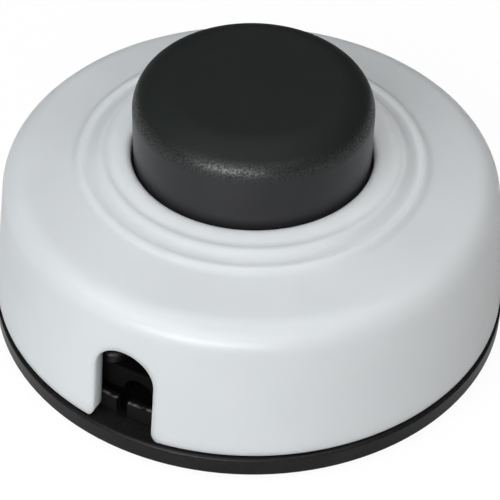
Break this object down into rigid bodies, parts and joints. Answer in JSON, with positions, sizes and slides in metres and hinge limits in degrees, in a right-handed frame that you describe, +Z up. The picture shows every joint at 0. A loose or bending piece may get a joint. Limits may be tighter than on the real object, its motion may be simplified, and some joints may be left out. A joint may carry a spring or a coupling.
{
  "type": "foot switch",
  "caption": "Round in-line floor foot switch with a domed cover, two ripple rings, a large press button and arched cord notches at the front and rear",
  "frame": {"origin": "centre of the round underside, in the plane the four feet stand on", "axes": "+Z up along the button's axis, the cord runs along Y and the notch seen in the picture faces -Y, the live terminals are on +X"},
  "size_m": [0.06, 0.06, 0.031],
  "materials": {
    "cover_white": "satin gloss moulded",
    "base_black": "fine moulded grain",
    "button_black": "fine moulded grain",
    "acetal_white": "smooth acetal",
    "housing_grey": "moulded satin",
    "rotor_plastic": "smooth acetal",
    "contact_brass": "stamped brass",
    "spring_steel": "drawn wire and strip",
    "screw_steel": "zinc plated",
    "foot_rubber": "matt rubber"
  },
  "bodies": {
    "body": {"cover": "cover_white", "base": "base_black", "return_spring": "spring_steel", "mechanism_housing": "housing_grey", "mechanism_lid": "housing_grey", "rotor_spindle": "screw_steel", "spindle_clip": "spring_steel", "detent_spring": "spring_steel", "fixed_contact_in": "contact_brass", "fixed_contact_out": "contact_brass", "live_terminal_in": "contact_brass", "live_terminal_out": "contact_brass", "neutral_terminal": "contact_brass", "live_terminal_screws": "screw_steel", "neutral_terminal_screws": "screw_steel", "cord_clamp_front": "base_black", "cord_clamp_rear": "base_black", "clamp_screws_front": "screw_steel", "clamp_screws_rear": "screw_steel", "housing_screws": "screw_steel", "cover_screws": "screw_steel", "foot_1": "foot_rubber", "foot_2": "foot_rubber", "foot_3": "foot_rubber", "foot_4": "foot_rubber"},
    "press_button": {"button": "button_black", "plunger": "acetal_white"},
    "rotor": {"ratchet_rotor": "rotor_plastic", "contact_bridge": "contact_brass"}
  },
  "joints": [
    {"name": "button_press", "type": "slide", "parent": "body", "child": "press_button", "axis": [0, 0, -1], "range_m": [0, 0.0035], "stiffness_N_per_m": 700, "springref_m": -0.004, "deforming": ["return_spring"]},
    {"name": "rotor_index", "type": "hinge", "parent": "body", "child": "rotor", "pos_m": [0, 0, 0.006], "axis": [0, 0, 1], "continuous": true}
  ]
}
